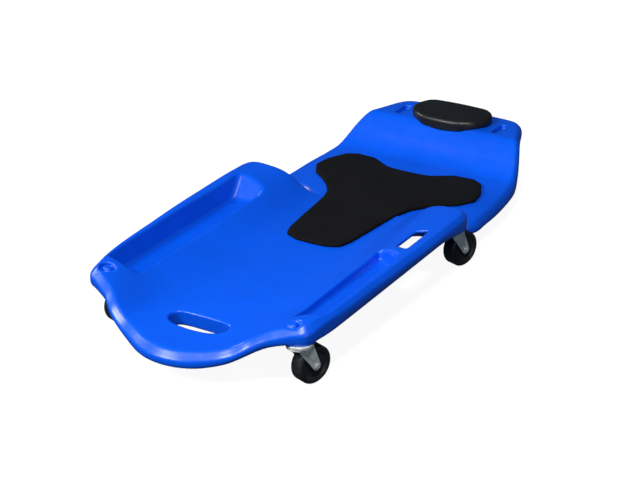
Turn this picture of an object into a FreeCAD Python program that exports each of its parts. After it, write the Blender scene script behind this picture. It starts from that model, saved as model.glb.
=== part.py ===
import FreeCAD
import Part
import math
import os

# Mechanics creeper: a one-piece hollow plastic deck on four swivel casters,
# with a foam back pad and a padded headrest.
# Millimetres. X to the lying person's right, Y toward the head, Z up.
# Origin on the floor under the middle of the deck.

V = FreeCAD.Vector

# ---------------------------------------------------------------- deck sizes
WALL = 3.5                   # skin of the blow-moulded shell
FLOOR_Z = 59.0               # flat lying floor, top face
BELLY_Z = 31.0               # flat underside
TRAY_FLOOR_Z = 75.0
TRAY_TOP_Z = 124.0           # above every rail, only used to open the pocket

# Plan outline of the dished main section, right half, foot to head.
MAIN_OUTLINE = [
    (0, -520), (30, -516), (60, -504), (85, -491), (107, -482), (129, -472),
    (145, -461), (159, -450), (175, -442), (192, -434), (204, -421),
    (211, -398), (217, -355), (223, -250), (226.5, -170), (229, -80), (230, 0),
    (229.5, 40), (228, 63), (222, 80), (209, 90), (190, 94), (168, 97),
    (144, 101), (112, 106), (60, 111), (0, 113),
]

# Plan outline of the flat floor and head section, right half, foot to head.
HEAD_OUTLINE = [
    (0, -96), (40, -92), (60, -70), (70, -20), (80, 40), (92, 84), (112, 116),
    (138, 136), (168, 142), (190, 146), (201, 158), (204, 190), (203.5, 230),
    (202, 262), (198, 302), (193, 336), (187, 362), (180, 384), (171, 406),
    (161, 428), (152, 450), (144, 472), (134, 495), (118, 512), (92, 518),
    (50, 519.5), (0, 520),
]

# Heights of the dished top, one row per Y station, one column per |x|.
DISH_X = [0, 40, 70, 100, 125, 147, 175, 200, 220, 240]
DISH_TOP = [
    (-460, [58.5, 58.5, 60, 69, 87, 101, 109, 109, 109, 109]),
    (-400, [59.2, 59.2, 60.5, 68, 81, 93, 107, 110, 110, 110]),
    (-340, [59.5, 59.5, 60.5, 67, 76, 85, 101, 110, 112, 112]),
    (-250, [59.5, 59.5, 60.5, 67, 76.5, 87, 101, 111, 113, 113]),
    (-150, [59.5, 59.5, 60.5, 67, 77, 88.5, 103, 112, 114, 114]),
    (-100, [59.2, 59.2, 60.5, 67, 78, 90, 105, 109, 114, 114]),
    (-40, [57.6, 57.8, 60, 67, 79, 92, 105, 108, 114, 114]),
    (20, [57, 57.4, 60, 67, 81, 97, 107, 111, 114, 114]),
    (100, [56.8, 57.2, 59.6, 66, 82, 103, 108, 111, 112, 112]),
]
DISH_LOW = [
    (-460, [32.5, 32.6, 34, 44, 60, 73, 77, 77, 77, 77]),
    (-400, [32.5, 32.6, 34, 42, 56, 70, 77, 77, 77, 77]),
    (-345, [32.5, 32.6, 34, 41, 50, 59, 66, 66, 84, 105]),
    (0, [32.5, 32.6, 34, 41, 50, 60, 66, 66, 84, 105]),
    (42, [32.5, 32.6, 34, 42, 54, 66, 77, 77, 80, 83]),
    (100, [32.5, 32.6, 34, 43, 58, 72, 77, 77, 77, 77]),
]
NET_X = 20.0                 # spacing of the smoothing net
NET_Y = 29.0
NET_COUNT_X = 29
NET_COUNT_Y = 43
NET_MIDDLE_Y = -195.0

# Side profile of the head section: flat, then a ramp up to the headrest.
# The first point ends the flat stretch, the last starts the level top.
HEAD_START_Y = -140.0
HEAD_END_Y = 560.0
HEAD_TOP = [
    (322, 59), (336, 59.4), (347, 62), (358, 67), (368, 74), (378, 82),
    (388, 90.5), (398, 98), (407, 104.5), (415, 109), (422, 112), (428, 112),
]
HEAD_LOW = [
    (336, 31), (350, 31.2), (361, 34.5), (372, 41), (383, 49.5), (394, 58.5),
    (405, 67.5), (416, 76), (427, 83.5), (438, 88.5), (448, 90), (460, 90),
]

# Tool trays: the left one is long, the right one stops short of the hand slot.
TRAY_IN_X = 150.0
TRAY_OUT_X = 199.0
TRAY_FOOT_Y = -373.0
LEFT_TRAY_HEAD_Y = -10.0
RIGHT_TRAY_HEAD_Y = -97.0
RIGHT_TRAY_HEAD_OUT_Y = -131.0

# Hand slots.
SIDE_SLOT = [(176, -90), (202, -104), (201, -19), (178, -24)]
SIDE_GRIP = [(120, -80), (211, -110), (211, 22), (165, 30), (120, 48)]
SIDE_WEB_T = 6.5             # solid plastic left above the finger room
FOOT_SLOT_TOP = [
    (0, -394), (30, -395), (46, -399), (53, -410), (47, -425), (26, -434.5),
    (0, -437),
]
FOOT_SLOT_FLARE = 3.0

# Round recess in each foot pod, long recess either side of the headrest.
POD_RECESSES = [(-181.0, -404.0), (175.0, -416.0)]
POD_RECESS_R = 14.0
POD_RECESS_CORE_R = 7.5
HEAD_RECESS = (104.0, 457.0, 13.0, 46.0, 8.0)   # x, y, width, length, depth

# ------------------------------------------------------------- caster sizes
WHEEL_R = 31.75
WHEEL_W = 24.0
HUB_W = 26.0
TRAIL = 22.0
BUSH_R = 5.0
BUSH_BORE_R = 3.0
AXLE_R = 2.95
RUN_FIT = 0.05
LEG_IN = 13.3
LEG_T = 2.0
CROWN_Z0 = 68.0
CROWN_Z1 = 70.5
CROWN_R = 21.5
PLATE_Z0 = 73.5
MOUNT_Z = 76.0
PLATE_R = 22.0
BALL_R = 2.4
BALL_PITCH_R = 13.5
BALL_Z = 72.0
BALL_COUNT = 14
PIN_R = 6.0
STEM_R = 5.5
STEM_TOP_Z = 96.5
SOCKET_R = 8.0
SEAT_R = 25.0                # flat face under the deck for the raceway
BOSS_R = 30.5                # solid column inside the hollow deck
CASTERS = [
    ("foot_left", -178.0, -402.0, 71.4),
    ("foot_right", 185.5, -413.0, 71.4),
    ("head_left", -196.0, 76.0, 71.4),
    ("head_right", 196.0, 76.0, 71.4),
]

# ------------------------------------------------------------ cushion sizes
PAD_Z0 = 59.2
PAD_T = 7.0
BACK_PAD = [
    (0, -77), (28, -76), (53, -65), (61, -42), (67, 8), (72, 56), (77, 100),
    (86, 130), (104, 156), (126, 178), (150, 196), (167, 226), (163, 260),
    (145, 300), (123, 313), (84, 310), (62, 296), (44, 285), (20, 282),
    (0, 282),
]
REST_Z0 = 100.0
REST_TOP_Z = 130.0
REST = [
    (0, 404), (38, 407), (62, 422), (79, 450), (79, 472), (69, 494),
    (54, 505), (0, 508),
]
REST_GAP = 0.4               # cushion clear of the deck
BOARD_Z0 = 112.3
BOARD_T = 5.5
BOARD_INSET = 9.0
SCREW_X = 46.0
SCREW_Y = 472.0
SCREW_R = 1.8
SCREW_HEAD_R = 5.0
SCREW_HEAD_Z = 106.3         # top of the head, under the deck's top skin


# ------------------------------------------------------------------ helpers
def row_value(xs, row, x):
    """Straight-line lookup of a row of heights at |x|."""
    ax = abs(x)
    for i in range(len(xs) - 1):
        if ax <= xs[i + 1]:
            t = (ax - xs[i]) / (xs[i + 1] - xs[i])
            return row[i] + t * (row[i + 1] - row[i])
    return row[-1]


def table_value(table, x, y):
    """Height from a table of rows at any x and y."""
    if y <= table[0][0]:
        return row_value(DISH_X, table[0][1], x)
    for (y0, r0), (y1, r1) in zip(table, table[1:]):
        if y <= y1:
            t = (y - y0) / (y1 - y0)
            a = row_value(DISH_X, r0, x)
            b = row_value(DISH_X, r1, x)
            return a + t * (b - a)
    return row_value(DISH_X, table[-1][1], x)


def smooth_face(table, lift):
    """One smooth B-spline face whose control net follows a height table."""
    nx = NET_COUNT_X
    ny = NET_COUNT_Y
    poles = []
    for i in range(nx):
        x = (i - (nx - 1) / 2) * NET_X
        line = []
        for j in range(ny):
            y = NET_MIDDLE_Y + (j - (ny - 1) / 2) * NET_Y
            line.append(V(x, y, table_value(table, x, y) + lift))
        poles.append(line)
    u_knots = list(range(nx - 2))
    v_knots = list(range(ny - 2))
    u_mults = [4] + [1] * (nx - 4) + [4]
    v_mults = [4] + [1] * (ny - 4) + [4]
    surface = Part.BSplineSurface()
    surface.buildFromPolesMultsKnots(
        poles, u_mults, v_mults, u_knots, v_knots, False, False, 3, 3)
    return surface.toShape()


def mirrored(half):
    """Close a right-half outline with its left-half mirror."""
    left = [(-x, y) for x, y in reversed(half) if x > 0.001]
    return list(half) + left


def inset(points, d):
    """Move every point of a closed outline inward by d."""
    n = len(points)
    out = []
    for i in range(n):
        x0, y0 = points[i - 1]
        x1, y1 = points[(i + 1) % n]
        length = math.hypot(x1 - x0, y1 - y0)
        out.append((points[i][0] - d * (y1 - y0) / length,
                    points[i][1] + d * (x1 - x0) / length))
    return out


def smooth_prism(points, z0, z1):
    """Upright prism on one closed smooth curve."""
    curve = Part.BSplineCurve()
    curve.interpolate(Points=[V(x, y, z0) for x, y in points], PeriodicFlag=True)
    face = Part.Face(Part.Wire([curve.toShape()]))
    return face.extrude(V(0, 0, z1 - z0))


def rounded_wire(points, z, radius):
    """Closed polygon with every corner rounded to one radius."""
    n = len(points)
    edges = []
    last = None
    first = None
    for i in range(n):
        p0 = V(points[i - 1][0], points[i - 1][1], z)
        p1 = V(points[i][0], points[i][1], z)
        p2 = V(points[(i + 1) % n][0], points[(i + 1) % n][1], z)
        a = (p0 - p1).normalize()
        b = (p2 - p1).normalize()
        half = a.getAngle(b) / 2
        cut = radius / math.tan(half)
        t0 = p1 + a * cut
        t1 = p1 + b * cut
        mid = p1 + (a + b).normalize() * (radius / math.sin(half) - radius)
        if last is not None:
            edges.append(Part.makeLine(last, t0))
        else:
            first = t0
        edges.append(Part.Arc(t0, mid, t1).toShape())
        last = t1
    edges.append(Part.makeLine(last, first))
    return Part.Wire(edges)


def loft(wires):
    return Part.makeLoft(wires, True, True)


def cylinder(r, z0, z1, x=0.0, y=0.0):
    return Part.makeCylinder(r, z1 - z0, V(x, y, z0), V(0, 0, 1))


def drum(r, x0, x1):
    """Cylinder along X at the wheel axis of the local caster frame."""
    return Part.makeCylinder(r, x1 - x0, V(x0, TRAIL, WHEEL_R), V(1, 0, 0))


# --------------------------------------------------------------------- deck
def main_section(grow):
    """Dished section with rails; grow < 0 gives the inner void."""
    outline = mirrored(MAIN_OUTLINE)
    if grow:
        outline = inset(outline, -grow)
    body = smooth_prism(outline, 10, 150)
    above = smooth_face(DISH_TOP, grow).extrude(V(0, 0, 120))
    below = smooth_face(DISH_LOW, -grow).extrude(V(0, 0, -90))
    return body.cut(above).cut(below)


def profile_edges(points, dz):
    """Flat line, curved ramp and level line of one head profile."""
    curve = Part.BSplineCurve()
    curve.buildFromPoles([V(-260, y, z + dz) for y, z in points], False, 2)
    z0 = points[0][1] + dz
    z1 = points[-1][1] + dz
    start = V(-260, HEAD_START_Y, z0)
    end = V(-260, HEAD_END_Y, z1)
    edges = [Part.makeLine(start, V(-260, points[0][0], z0)), curve.toShape(),
             Part.makeLine(V(-260, points[-1][0], z1), end)]
    return edges, start, end


def head_slab(low_dz, top_dz, low=None):
    """Full-width slab between two head profiles."""
    top_edges, a0, a1 = profile_edges(HEAD_TOP, top_dz)
    if low is None:
        low_edges, b0, b1 = profile_edges(HEAD_LOW, low_dz)
    else:
        b0 = V(-260, HEAD_START_Y, low)
        b1 = V(-260, HEAD_END_Y, low)
        low_edges = [Part.makeLine(b0, b1)]
    wire = Part.Wire(top_edges + [Part.makeLine(a1, b1)]
                     + low_edges[::-1] + [Part.makeLine(b0, a0)])
    return Part.Face(wire).extrude(V(520, 0, 0))


def head_section(grow):
    """Flat floor and head ramp; grow < 0 gives the inner void."""
    outline = mirrored(HEAD_OUTLINE)
    if grow:
        outline = inset(outline, -grow)
    return smooth_prism(outline, 10, 150).common(head_slab(-grow, grow))


def tray_pocket(side, grow):
    """Tapered pocket of one tool tray; grow > 0 leaves a wall around it."""
    g = grow
    if side < 0:
        head_in = LEFT_TRAY_HEAD_Y
        head_out = LEFT_TRAY_HEAD_Y - 8
        run = 56.0
    else:
        head_in = RIGHT_TRAY_HEAD_Y
        head_out = RIGHT_TRAY_HEAD_OUT_Y
        run = 9.0
    rise = TRAY_TOP_Z - TRAY_FLOOR_Z
    low = [(TRAY_IN_X - g, TRAY_FOOT_Y - g), (TRAY_OUT_X + g, TRAY_FOOT_Y - g),
           (TRAY_OUT_X + g, head_out + g), (TRAY_IN_X - g, head_in + g)]
    top = [(TRAY_IN_X - g - 11, TRAY_FOOT_Y - g - 3),
           (TRAY_OUT_X + g + 9, TRAY_FOOT_Y - g - 3),
           (TRAY_OUT_X + g + 9, head_out + g + run),
           (TRAY_IN_X - g - 11, head_in + g + run)]
    if side < 0:
        low = [(-x, y) for x, y in reversed(low)]
        top = [(-x, y) for x, y in reversed(top)]
    z0 = TRAY_FLOOR_Z - g
    return loft([rounded_wire(low, z0, 9), rounded_wire(top, z0 + rise, 9)])


def side_slot(grow):
    """Through hand slot beside the right tray."""
    points = inset(SIDE_SLOT, -1.35 * grow)
    return Part.Face(rounded_wire(points, 20, 6)).extrude(V(0, 0, 120))


def side_grip(grow):
    """Finger room under the side slot, its ceiling parallel to the dish."""
    points = inset(SIDE_GRIP, -1.35 * grow)
    column = Part.Face(rounded_wire(points, 10, 8)).extrude(V(0, 0, 130))
    ceiling = smooth_face(DISH_TOP, grow - SIDE_WEB_T)
    return column.common(ceiling.extrude(V(0, 0, -120)))


def foot_slot(grow):
    """Curved through hand slot near the foot edge, wider underneath."""
    solids = []
    for z, spread in ((BELLY_Z - 12, FOOT_SLOT_FLARE), (FLOOR_Z + 22, 0.0)):
        half = [(x, y) for x, y in FOOT_SLOT_TOP]
        points = inset(mirrored(half), grow + spread)
        curve = Part.BSplineCurve()
        curve.interpolate(Points=[V(x, y, z) for x, y in points],
                          PeriodicFlag=True)
        solids.append(Part.Wire([curve.toShape()]))
    return loft(solids)


def pod_recess(x, y, grow):
    ring = cylinder(POD_RECESS_R + grow, 101 - grow, 130, x, y)
    if grow > 0:
        return ring
    core = cylinder(POD_RECESS_CORE_R, 95, 106.5, x, y)
    return ring.cut(core)


def head_recess(side, grow):
    x, y, w, length, depth = HEAD_RECESS
    cx = side * x
    hw = w / 2 + grow
    hl = length / 2 + grow
    points = [(cx - hw, y - hl), (cx + hw, y - hl), (cx + hw, y + hl),
              (cx - hw, y + hl)]
    base = Part.Face(rounded_wire(points, 112 - depth - grow, hw - 0.5))
    return base.extrude(V(0, 0, depth + grow + 10))


def make_deck():
    """Hollow shell: outer body minus pockets minus the inner void."""
    pockets = [side_grip(0.0), side_slot(0.0), foot_slot(0.0)]
    walls = [side_grip(WALL), side_slot(WALL), foot_slot(WALL)]
    for side in (-1, 1):
        pockets.append(tray_pocket(side, 0.0))
        walls.append(tray_pocket(side, WALL))
        pockets.append(head_recess(side, 0.0))
        walls.append(head_recess(side, WALL))
        sx = side * SCREW_X
        pockets.append(cylinder(SCREW_HEAD_R + 1.5, 60, SCREW_HEAD_Z, sx, SCREW_Y))
        pockets.append(cylinder(SCREW_R + 0.1, 100, 120, sx, SCREW_Y))
        walls.append(cylinder(SCREW_HEAD_R + 5, 60, 130, sx, SCREW_Y))
    for x, y in POD_RECESSES:
        pockets.append(pod_recess(x, y, 0.0))
        walls.append(pod_recess(x, y, WALL))
    plan = smooth_prism(inset(mirrored(MAIN_OUTLINE), 1.0), 60, 120)
    seats = []
    for name, x, y, yaw in CASTERS:
        seats.append(cylinder(SEAT_R, MOUNT_Z, 92, x, y).common(plan))
        pockets.append(cylinder(SEAT_R, 40, MOUNT_Z, x, y))
        pockets.append(cylinder(SOCKET_R, MOUNT_Z - 1, STEM_TOP_Z + 1.5, x, y))
        walls.append(cylinder(BOSS_R, 20, 150, x, y))
    outer = main_section(0.0).fuse([head_section(0.0)] + seats).cut(pockets)
    void = main_section(-WALL).fuse(head_section(-WALL)).cut(walls)
    return outer.cut([s for s in void.Solids if s.Volume > 2000])


# ------------------------------------------------------------------ caster
def torus_groove():
    return Part.makeTorus(BALL_PITCH_R, BALL_R + 0.1, V(0, 0, BALL_Z),
                          V(0, 0, 1))


def make_plate():
    """Upper raceway disc with a dust skirt, pressed up against the deck."""
    disc = cylinder(PLATE_R, PLATE_Z0, MOUNT_Z)
    skirt = cylinder(PLATE_R, CROWN_Z1 + 0.5, MOUNT_Z)
    skirt = skirt.cut(cylinder(PLATE_R - 1.6, CROWN_Z1, MOUNT_Z))
    bore = cylinder(PIN_R + RUN_FIT, 60, 90)
    return disc.fuse(skirt).cut([bore, torus_groove()])


def make_kingpin():
    """Headed pin through the raceways, drawn out into the mounting stem."""
    head = cylinder(9.0, CROWN_Z0 - 3.3, CROWN_Z0 - 0.3)
    shaft = cylinder(PIN_R, CROWN_Z0 - 0.3, MOUNT_Z)
    stem = cylinder(STEM_R, MOUNT_Z, STEM_TOP_Z)
    tip = Part.makeCone(STEM_R, STEM_R - 1.5, 1.5, V(0, 0, STEM_TOP_Z - 1.5),
                        V(0, 0, 1))
    stem = stem.cut(cylinder(STEM_R + 1, STEM_TOP_Z - 1.5, STEM_TOP_Z)).fuse(tip)
    return head.fuse([shaft, stem]).removeSplitter()


def make_socket():
    """Sleeve moulded into the deck that grips the stem."""
    return cylinder(SOCKET_R, MOUNT_Z, STEM_TOP_Z + 1.0).cut(
        cylinder(STEM_R, 70, 120))


def make_balls():
    balls = []
    for i in range(BALL_COUNT):
        a = 2 * math.pi * i / BALL_COUNT
        balls.append(Part.makeSphere(
            BALL_R, V(BALL_PITCH_R * math.cos(a), BALL_PITCH_R * math.sin(a),
                      BALL_Z)))
    return Part.makeCompound(balls)


def tapered_leg(x0, t, top_half, top_y, top_z, tip_r, tip_y, tip_z):
    """Teardrop plate in the YZ plane, straight sides tangent to its tip."""
    sides = []
    for sign in (-1, 1):
        px = top_y + sign * top_half
        dy = px - tip_y
        dz = top_z - tip_z
        d = math.hypot(dy, dz)
        a = math.atan2(dz, dy) - sign * math.acos(tip_r / d)
        sides.append((V(x0, px, top_z),
                      V(x0, tip_y + tip_r * math.cos(a),
                        tip_z + tip_r * math.sin(a))))
    (a0, a1), (b0, b1) = sides
    down = V(tip_y - top_y, tip_z - top_z, 0).normalize()
    low = V(x0, tip_y + tip_r * down.x, tip_z + tip_r * down.y)
    wire = Part.Wire([Part.makeLine(a0, a1), Part.Arc(a1, low, b1).toShape(),
                      Part.makeLine(b1, b0), Part.makeLine(b0, a0)])
    return Part.Face(wire).extrude(V(t, 0, 0))


def make_fork():
    """Pressed-steel yoke: round crown, two teardrop legs, raised ribs."""
    crown = cylinder(CROWN_R, CROWN_Z0, CROWN_Z1)
    pieces = []
    for side in (-1, 1):
        x0 = LEG_IN if side > 0 else -LEG_IN - LEG_T
        rib = LEG_IN + LEG_T - 0.2 if side > 0 else -LEG_IN - LEG_T - 0.7
        pieces.append(tapered_leg(x0, LEG_T, 13.5, 2.0, CROWN_Z0 + 1, 7.5,
                                  TRAIL, WHEEL_R))
        pieces.append(tapered_leg(rib, 0.9, 6.5, 6.0, CROWN_Z0 - 6, 3.2,
                                  TRAIL - 8.5, WHEEL_R + 15.5))
    fork = crown.fuse(pieces)
    tools = [cylinder(PIN_R + RUN_FIT, 60, 90), torus_groove(),
             drum(AXLE_R + 0.05, -20, 20)]
    return fork.cut(tools)


def make_wheel():
    """Hard wheel: crowned tread, dished faces, hub bored for the bushing."""
    w = WHEEL_W / 2
    h = HUB_W / 2
    r0 = BUSH_R + RUN_FIT
    profile = [
        (-h, r0), (-h, 9.5), (-w + 3.2, 11.0), (-w + 3.2, 21.5),
        (-w, 24.0), (-w, WHEEL_R - 3.2), (-w + 3.0, WHEEL_R - 0.5),
        (-w + 5.0, WHEEL_R), (w - 5.0, WHEEL_R), (w - 3.0, WHEEL_R - 0.5),
        (w, WHEEL_R - 3.2), (w, 24.0), (w - 3.2, 21.5), (w - 3.2, 11.0),
        (h, 9.5), (h, r0),
    ]
    points = [V(x, TRAIL, WHEEL_R + r) for x, r in profile]
    face = Part.Face(Part.makePolygon(points + [points[0]]))
    return face.revolve(V(0, TRAIL, WHEEL_R), V(1, 0, 0), 360)


def make_bushing():
    return drum(BUSH_R, -LEG_IN, LEG_IN).cut(drum(BUSH_BORE_R, -20, 20))


def make_axle():
    """Rivet with a low round head outside each leg."""
    reach = LEG_IN + LEG_T
    rod = drum(AXLE_R, -reach, reach)
    heads = []
    for side in (-1, 1):
        base = V(side * reach, TRAIL, WHEEL_R)
        heads.append(Part.makeCone(5.2, 3.4, 1.8, base, V(side, 0, 0)))
    return rod.fuse(heads).removeSplitter()


def placed(shape, x, y, yaw):
    """Turn a caster piece about its stem, then move it to its corner."""
    out = shape.copy()
    out.rotate(V(0, 0, 0), V(0, 0, 1), yaw - 90.0)
    out.translate(V(x, y, 0))
    return out


# ---------------------------------------------------------------- cushions
def make_back_pad():
    """Foam mat, pillowed slightly at its upper edge."""
    outline = mirrored(BACK_PAD)
    wires = []
    for z, d in ((PAD_Z0, 0.0), (PAD_Z0 + PAD_T - 2.0, 0.0),
                 (PAD_Z0 + PAD_T, 2.5)):
        curve = Part.BSplineCurve()
        curve.interpolate(Points=[V(x, y, z) for x, y in inset(outline, d)],
                          PeriodicFlag=True)
        wires.append(Part.Wire([curve.toShape()]))
    return loft(wires).cut(main_section(PAD_Z0 - FLOOR_Z))


def board_outline(grow):
    return inset(mirrored(REST), BOARD_INSET - grow)


def make_headrest():
    """Stuffed headrest, shaped underneath to the ramp and round its board."""
    outline = mirrored(REST)
    wires = []
    for z, d in ((REST_Z0, 1.0), (REST_Z0 + 12.0, 0.0), (REST_TOP_Z - 5.0, 0.0),
                 (REST_TOP_Z, 6.0)):
        curve = Part.BSplineCurve()
        curve.interpolate(Points=[V(x, y, z) for x, y in inset(outline, d)],
                          PeriodicFlag=True)
        wires.append(Part.Wire([curve.toShape()]))
    room = smooth_prism(board_outline(REST_GAP), 90, BOARD_Z0 + BOARD_T + REST_GAP)
    return loft(wires).cut([head_slab(0.0, REST_GAP, 60.0), room])


def make_board():
    """Thin board under the headrest that takes its screws."""
    board = smooth_prism(board_outline(0.0), BOARD_Z0, BOARD_Z0 + BOARD_T)
    holes = [cylinder(SCREW_R + 0.05, 100, BOARD_Z0 + BOARD_T - 1,
                      side * SCREW_X, SCREW_Y) for side in (-1, 1)]
    return board.cut(holes)


def make_screws():
    """Two pan-head screws driven up through the deck into the board."""
    screws = []
    for side in (-1, 1):
        x = side * SCREW_X
        head = cylinder(SCREW_HEAD_R, SCREW_HEAD_Z - 2.2, SCREW_HEAD_Z - 0.1,
                        x, SCREW_Y)
        shank = cylinder(SCREW_R, SCREW_HEAD_Z - 1, BOARD_Z0 + BOARD_T - 1.3,
                         x, SCREW_Y)
        screws.append(head.fuse(shank).removeSplitter())
    return Part.makeCompound(screws)


# ------------------------------------------------------------------- export
def export(shape, node):
    shape.exportStep("parts/" + node + ".step")


def main():
    os.makedirs("parts", exist_ok=True)
    export(make_deck(), "deck_shell")
    export(make_back_pad(), "back_pad")
    export(make_headrest(), "headrest_pad")
    export(make_board(), "headrest_board")
    export(make_screws(), "headrest_screws")
    shared = {
        "socket": make_socket(), "kingpin": make_kingpin(),
        "raceway": make_plate(), "balls": make_balls(), "fork": make_fork(),
        "wheel": make_wheel(), "bushing": make_bushing(), "axle": make_axle(),
    }
    for corner, x, y, yaw in CASTERS:
        for name, shape in shared.items():
            export(placed(shape, x, y, yaw), corner + "_" + name)


main()
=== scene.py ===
import math

import bpy
import numpy as np
from mathutils import Matrix, Vector


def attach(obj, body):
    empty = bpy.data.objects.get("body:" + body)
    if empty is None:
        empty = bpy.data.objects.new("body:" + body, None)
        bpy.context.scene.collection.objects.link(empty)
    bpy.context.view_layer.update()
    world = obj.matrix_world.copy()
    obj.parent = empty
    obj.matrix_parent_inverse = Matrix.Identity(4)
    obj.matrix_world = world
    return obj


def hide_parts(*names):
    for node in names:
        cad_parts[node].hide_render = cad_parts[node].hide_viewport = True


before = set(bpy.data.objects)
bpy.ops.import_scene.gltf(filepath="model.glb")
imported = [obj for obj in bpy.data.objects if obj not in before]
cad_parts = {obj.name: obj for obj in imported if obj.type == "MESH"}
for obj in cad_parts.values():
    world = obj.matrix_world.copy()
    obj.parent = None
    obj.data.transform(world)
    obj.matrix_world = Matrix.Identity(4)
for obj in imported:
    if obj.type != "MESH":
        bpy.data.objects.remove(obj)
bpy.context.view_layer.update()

MM = 0.001

# Softening that only the visible deck has, in millimetres.
BEVEL = 9.0                  # width of the cut along the upper edges
FOOT_BEVEL = 3.5             # extra width round the foot end
EDGE_R = 1.8                 # roundness of the bevel itself
RAMP_SCOOP = 4.0             # dip across the head ramp
SCOOP_HALF_W = 165
SCOOP_COMES_Y = (326, 366)
SCOOP_GOES_Y = (425, 375)
SIDE_DROOP = 6.0             # how far the shoulders hang beside the bed
SHOULDER_X = 150
SHOULDER_W = 50
DROOP_GOES_Y = (360, 300)

# Roundness of edges and fillets, in millimetres.
BELLY_EDGE_R = 6.0
HEAD_EDGE_R = 2.5
HEAD_BELLY_R = 7.0
WING_FILLET_R = 9.0          # where the raised wings meet the head section
CUT_R = 2.0                  # where slots and recesses meet the surface
FOOT_SLOT_R = 2.2
POD_EDGE_R = 1.2
SHARP = 0.01

# Driving sizes of the deck and the casters, in millimetres. They repeat the
# CAD model's, apart from the foot pods: here their front edge in MAIN_OUTLINE
# is straighter and the first row of DISH_TOP is up to 5 mm lower.
MOUNT_Z = 76.0               # faces that the casters' raceways press against
MAIN_OUTLINE = [
    (0, -520), (30, -516), (60, -504), (85, -491), (107, -482), (129, -472),
    (142, -461), (153, -452), (164, -446), (176, -439.5), (188, -433),
    (198, -427.5), (205, -420.5), (209, -411), (211.5, -395), (217, -355),
    (223, -250), (226.5, -170), (229, -80), (230, 0),
    (229.5, 40), (228, 63), (222, 80), (209, 90), (190, 94), (168, 97),
    (144, 101), (112, 106), (60, 111), (0, 113),
]
HEAD_OUTLINE = [
    (0, -96), (40, -92), (60, -70), (70, -20), (80, 40), (92, 84), (112, 116),
    (138, 136), (168, 142), (190, 146), (201, 158), (204, 190), (203.5, 230),
    (202, 262), (198, 302), (193, 336), (187, 362), (180, 384), (171, 406),
    (161, 428), (152, 450), (144, 472), (134, 495), (118, 512), (92, 518),
    (50, 519.5), (0, 520),
]
# Each row of the two height tables is (y, heights at the places in DISH_X).
DISH_X = [0, 40, 70, 100, 125, 147, 175, 200, 220, 240]
DISH_TOP = [
    (-460, [58.5, 58.5, 60, 69, 87, 99, 104, 104, 104, 104]),
    (-400, [59.2, 59.2, 60.5, 68, 81, 93, 107, 110, 110, 110]),
    (-340, [59.5, 59.5, 60.5, 67, 76, 85, 101, 110, 112, 112]),
    (-250, [59.5, 59.5, 60.5, 67, 76.5, 87, 101, 111, 113, 113]),
    (-150, [59.5, 59.5, 60.5, 67, 77, 88.5, 103, 112, 114, 114]),
    (-100, [59.2, 59.2, 60.5, 67, 78, 90, 105, 109, 114, 114]),
    (-40, [57.6, 57.8, 60, 67, 79, 92, 105, 108, 114, 114]),
    (20, [57, 57.4, 60, 67, 81, 97, 107, 111, 114, 114]),
    (100, [56.8, 57.2, 59.6, 66, 82, 103, 108, 111, 112, 112]),
]
DISH_LOW = [
    (-460, [32.5, 32.6, 34, 44, 60, 73, 77, 77, 77, 77]),
    (-400, [32.5, 32.6, 34, 42, 56, 70, 77, 77, 77, 77]),
    (-345, [32.5, 32.6, 34, 41, 50, 59, 66, 66, 84, 105]),
    (0, [32.5, 32.6, 34, 41, 50, 60, 66, 66, 84, 105]),
    (42, [32.5, 32.6, 34, 42, 54, 66, 77, 77, 80, 83]),
    (100, [32.5, 32.6, 34, 43, 58, 72, 77, 77, 77, 77]),
]
NET_X = 20.0                 # spacing of the smoothing net
NET_Y = 29.0
NET_COUNT = (29, 43)
NET_MIDDLE_Y = -195.0
# Side profiles of the head ramp, as (y, z) control points.
HEAD_TOP = [
    (322, 59), (336, 59.4), (347, 62), (358, 67), (368, 74), (378, 82),
    (388, 90.5), (398, 98), (407, 104.5), (415, 109), (422, 112), (428, 112),
]
HEAD_LOW = [
    (336, 31), (350, 31.2), (361, 34.5), (372, 41), (383, 49.5), (394, 58.5),
    (405, 67.5), (416, 76), (427, 83.5), (438, 88.5), (448, 90), (460, 90),
]
# Tray walls: place at the tray floor, lean over TRAY_RISE, cosine of the lean.
TRAY_FLOOR_Z = 75.0
TRAY_RISE = 49.0
TRAY_INNER = (150.0, 11.0, 0.976)
TRAY_OUTER = (199.0, 9.0, 0.983)
TRAY_FOOT = (-373.0, 3.0)    # nearly upright, so its cosine is left out
# The head walls run askew: the last number is their set-back at the outer wall.
TRAY_HEADS = {-1: (-10.0, 56.0, 0.655, 8.0), 1: (-97.0, 9.0, 0.81, 34.0)}
TRAY_CORNER_R = 9.0
TRAY_BASE_R = 4.0
TRAY_RIM_R = 3.0

SIDE_SLOT = [(176, -90), (202, -104), (201, -19), (178, -24)]
SIDE_GRIP = [(120, -80), (211, -110), (211, 22), (165, 30), (120, 48)]
SIDE_WEB = 6.5               # solid plastic left above the finger room
FOOT_SLOT = [
    (0, -394), (30, -395), (46, -399), (53, -410), (47, -425), (26, -434.5),
    (0, -437),
]
FOOT_SLOT_LOW_Z = 19.0
FOOT_SLOT_TOP_Z = 81.0
FOOT_SLOT_FLARE = 3.0        # how much wider it is at the low level
POD_RECESSES = [(-181.0, -404.0), (175.0, -416.0)]
POD_RECESS_R = 14.0
POD_RECESS_Z = 101.0
POD_CORE_R = 7.5
POD_CORE_Z = 106.5
HEAD_END_Z = 112.0
HEAD_RECESS = (104.0, 457.0, 6.5, 23.0, 8.0)   # x, y, half width, half length, depth
CASTERS = {
    "foot_left": (-178.0, -402.0), "foot_right": (185.5, -413.0),
    "head_left": (-196.0, 76.0), "head_right": (196.0, 76.0),
}
SEAT_R = 25.0                # flat face under the deck for the raceway
SEAT_TOP_Z = 90.0
SEAT_INSET = 1.0             # inside the deck's outline
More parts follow.
